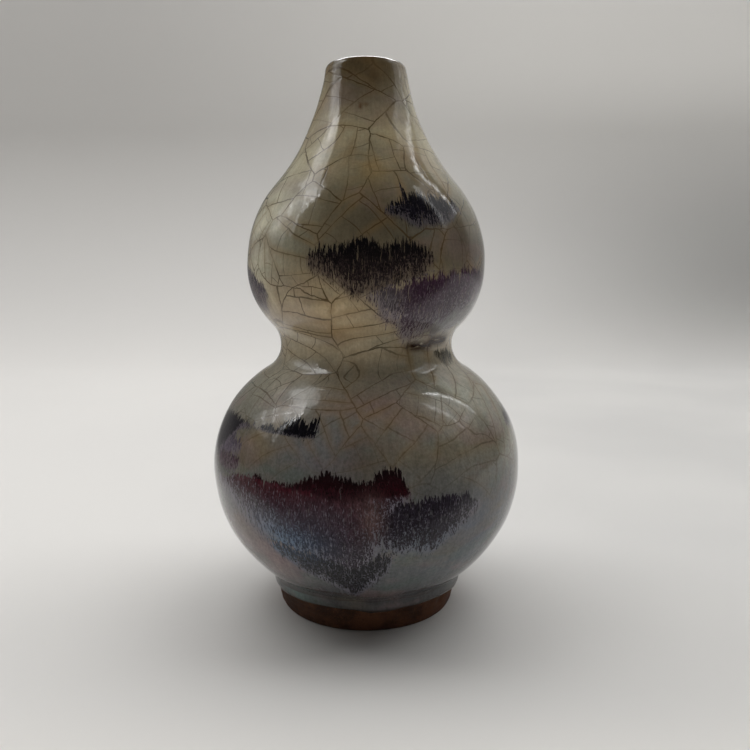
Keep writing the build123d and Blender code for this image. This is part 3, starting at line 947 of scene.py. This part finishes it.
def lamp(name, azimuth, elevation, wide, tall, glow, distance=1.8, roll=0.0, panes=(1, 1), soft=0.0, foot=1.0,
         sides=(1.0, 1.0), fills=False):
    """A soft box, as wide and tall in degrees as it looks from the vase, that glows as a share of white.

    One that fills lights the colours and isn't mirrored, and any other is only mirrored in the gloss. A box
    may lean by a roll, be divided into panes by brighter bars, have soft edges, and be dimmer at its foot or
    a side.
    """
    data = bpy.data.lights.new(name, "AREA")
    data.shape = "RECTANGLE"
    data.size = 2 * distance * math.tan(math.radians(wide / 2))
    data.size_y = 2 * distance * math.tan(math.radians(tall / 2))
    data.energy = glow * math.pi * data.size * data.size_y
    data.use_nodes = True
    g = Graph(data.node_tree)
    on_box = g.add("ShaderNodeNewGeometry", {}).outputs["Parametric"]
    spot = g.add("ShaderNodeSeparateXYZ", {0: on_box}).outputs
    upward = g.remap(spot[1], 0.0, 0.9, foot, 1.0)
    strength = g.math("MULTIPLY", upward, g.remap(spot[0], 0.0, 1.0, *sides))
    for side, count in zip(spot, panes):
        from_edge = g.math("MINIMUM", side, g.math("SUBTRACT", 1.0, side))
        if soft:
            strength = g.math("MULTIPLY", strength, g.remap(from_edge, 0.0, soft))
        if count > 1:
            pane = g.math("FRACT", g.math("MULTIPLY", side, float(count)))
            from_bar = g.math("DIVIDE", g.math("MINIMUM", pane, g.math("SUBTRACT", 1.0, pane)), float(count))
            strength = g.math("MULTIPLY", strength, g.remap(from_bar, *BAR_EDGE, BAR_GLOW, 1.0))
    g.tree.links.new(strength, g.tree.nodes["Emission"].inputs["Strength"])
    towards = direction(azimuth, elevation)
    box = bpy.data.objects.new(name, data)
    box.location = Vector((0, 0, VASE_MIDDLE)) + distance * towards
    lean = Quaternion((0, 0, 1), math.radians(roll))
    box.rotation_euler = ((-towards).to_track_quat("-Z", "Y") @ lean).to_euler()
    box.visible_camera = False
    box.visible_glossy = not fills
    box.visible_diffuse = fills
    scene.collection.objects.link(box)


# The vase
glaze, glaze_azimuth, glaze_height = glaze_form()
paint_glaze(glaze, glaze_azimuth, glaze_height)
glaze.data.materials.append(glaze_material())
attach(glaze, "root")
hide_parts("outer_glaze")

clay = clay_material("stoneware", (94, 58, 37), (60, 35, 21), (128, 88, 60))
foot = foot_form()
foot.data.materials.append(clay)
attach(foot, "root")
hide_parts("foot_ring")

finishes = {
    "upper_bulb": clay,
    "lower_bulb": clay,
    "waist_slip": clay_material("slip", (126, 88, 62), (92, 62, 42), (160, 120, 90)),
    "liner_glaze": plain_glaze_material("liner_glaze", (112, 98, 74), (92, 76, 52)),
    "base_glaze": plain_glaze_material("base_glaze", (122, 108, 84), (98, 80, 56)),
}
finishes["foot_slip"] = finishes["waist_slip"]
for name, finish in finishes.items():
    nodes[name].data.materials.clear()
    nodes[name].data.materials.append(finish)

# The studio
backdrop = sweep("paper_sweep", front=-1.2, back=0.83, bend=0.3, top=1.6, side=1.7)
backdrop.data.materials.append(paper_material())

lamp("left_veil", -100, 37, 37, 40, 1.8, distance=0.6, soft=0.05, foot=0.35, sides=(0.25, 1.0))
lamp("left_line", -78, 37, 1.3, 32, 9.0, foot=0.3)
lamp("left_bridge", -98, 55, 27, 14, 2.0, distance=0.6, soft=0.12)
lamp("left_panes", -97, 38, 13, 38, 0.9, roll=-31, panes=(2, 4), soft=0.03, foot=0.6)
lamp("left_fill", -122, 52, 48, 48, 2.9, fills=True)
lamp("right_panes", 100, 41, 26, 32, 0.8, soft=0.1, foot=0.6)
lamp("right_outer_line", 113, 43, 1.6, 32, 8.0, foot=0.5)
lamp("right_inner_line", 87, 42, 1.2, 34, 4.0, foot=0.5)
lamp("right_spot", 131, 56, 2.5, 3.5, 10.0, soft=0.3)
lamp("right_fill", 118, 52, 48, 48, 2.7, fills=True)
lamp("overhead", 180, 62, 55, 55, 1.2, distance=1.2, fills=True)
lamp("lip_box", 180, 53, 46, 10, 12.0, distance=0.95)

world = bpy.data.worlds.new("studio")
world.use_nodes = True
sky = Graph(world.node_tree)
rays = sky.add("ShaderNodeLightPath", {}).outputs
level = sky.remap(rays["Is Glossy Ray"], 0.0, 1.0, WORLD_LEVEL, WORLD_GLOSS)
level = sky.remap(rays["Is Camera Ray"], 0.0, 1.0, level, WORLD_SHOWN)
background = world.node_tree.nodes["Background"]
background.inputs["Color"].default_value = WORLD_COLOUR
sky.tree.links.new(level, background.inputs["Strength"])
scene.world = world
scene.view_settings.view_transform = "Standard"

camera_data = bpy.data.cameras.new("camera")
camera_data.sensor_fit = "HORIZONTAL"
camera_data.sensor_width = CAMERA_SENSOR
camera_data.lens = CAMERA_LENS
camera = bpy.data.objects.new("camera", camera_data)
camera.location = CAMERA_PLACE
camera.rotation_euler = (math.radians(90 - CAMERA_DOWN), 0, 0)
scene.collection.objects.link(camera)
scene.camera = camera
